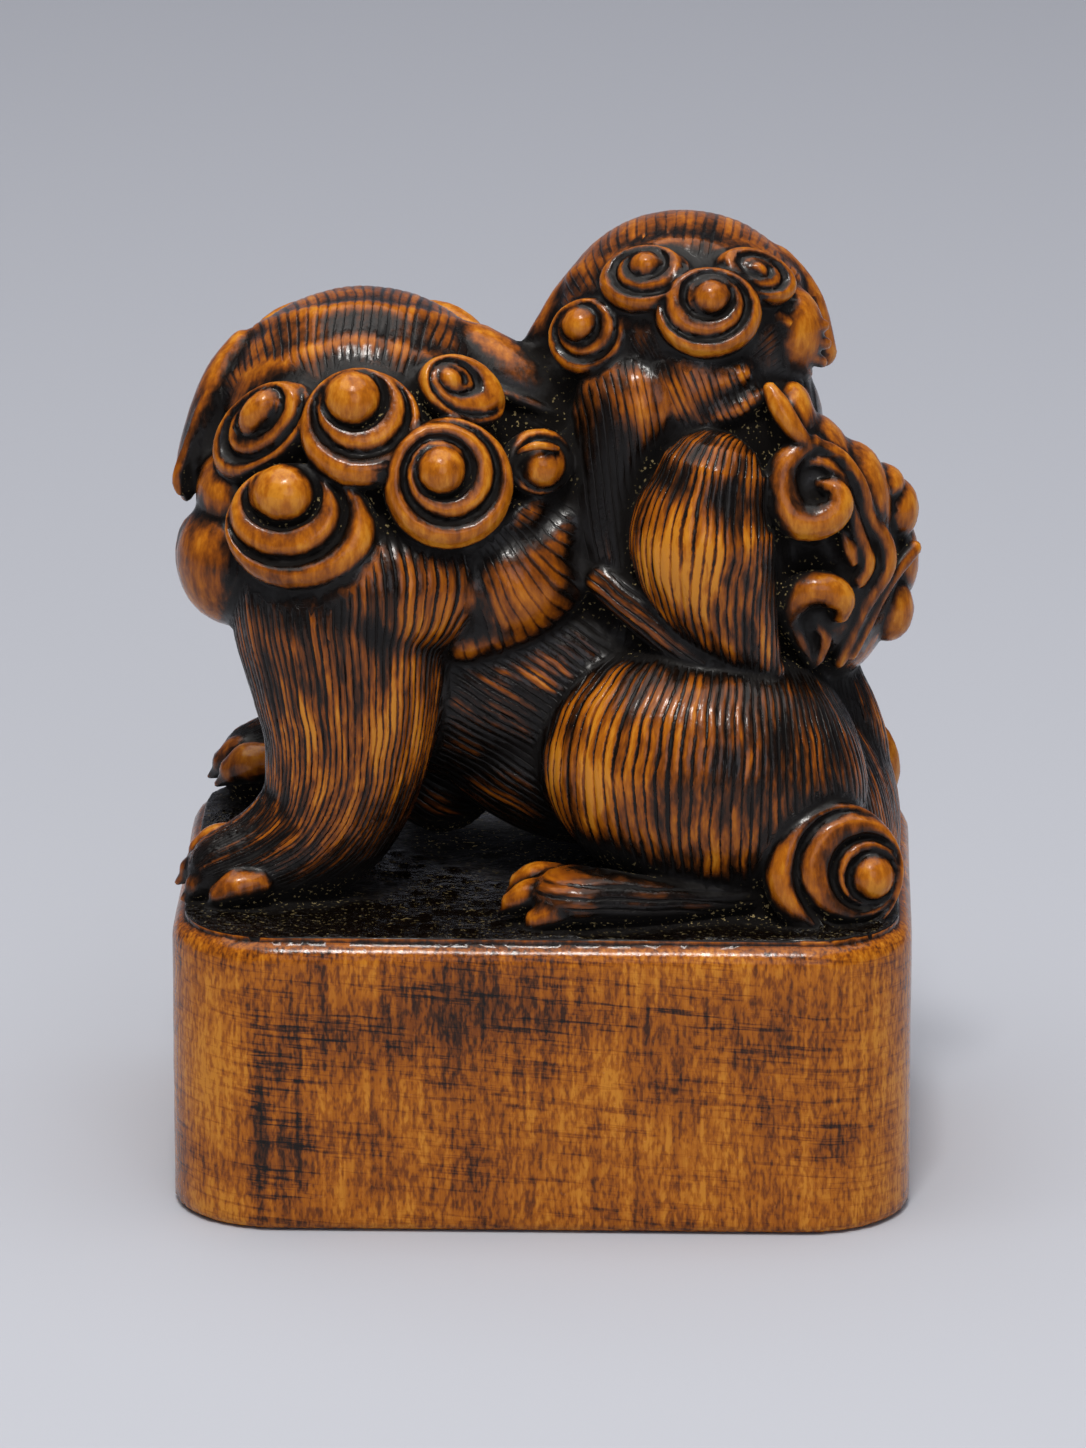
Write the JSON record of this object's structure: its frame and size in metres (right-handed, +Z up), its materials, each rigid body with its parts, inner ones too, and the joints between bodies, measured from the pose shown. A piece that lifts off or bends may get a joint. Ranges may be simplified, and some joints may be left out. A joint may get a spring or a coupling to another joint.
{
  "type": "netsuke",
  "caption": "Carved boxwood netsuke in seal form: a shishi with her cub climbing on her back, standing on a rounded rectangular block.",
  "frame": {"origin": "centre of the seal block's underside", "axes": "+Z up out of the block, +X from the shishi's chest towards her rump, +Y the way both faces look"},
  "size_m": [0.0306, 0.023, 0.0395],
  "materials": {
    "boxwood": "stained and rubbed boxwood, glossy on the raised parts and near black in the recesses"
  },
  "bodies": {
    "root": {"shishi_netsuke": "boxwood"}
  },
  "joints": []
}
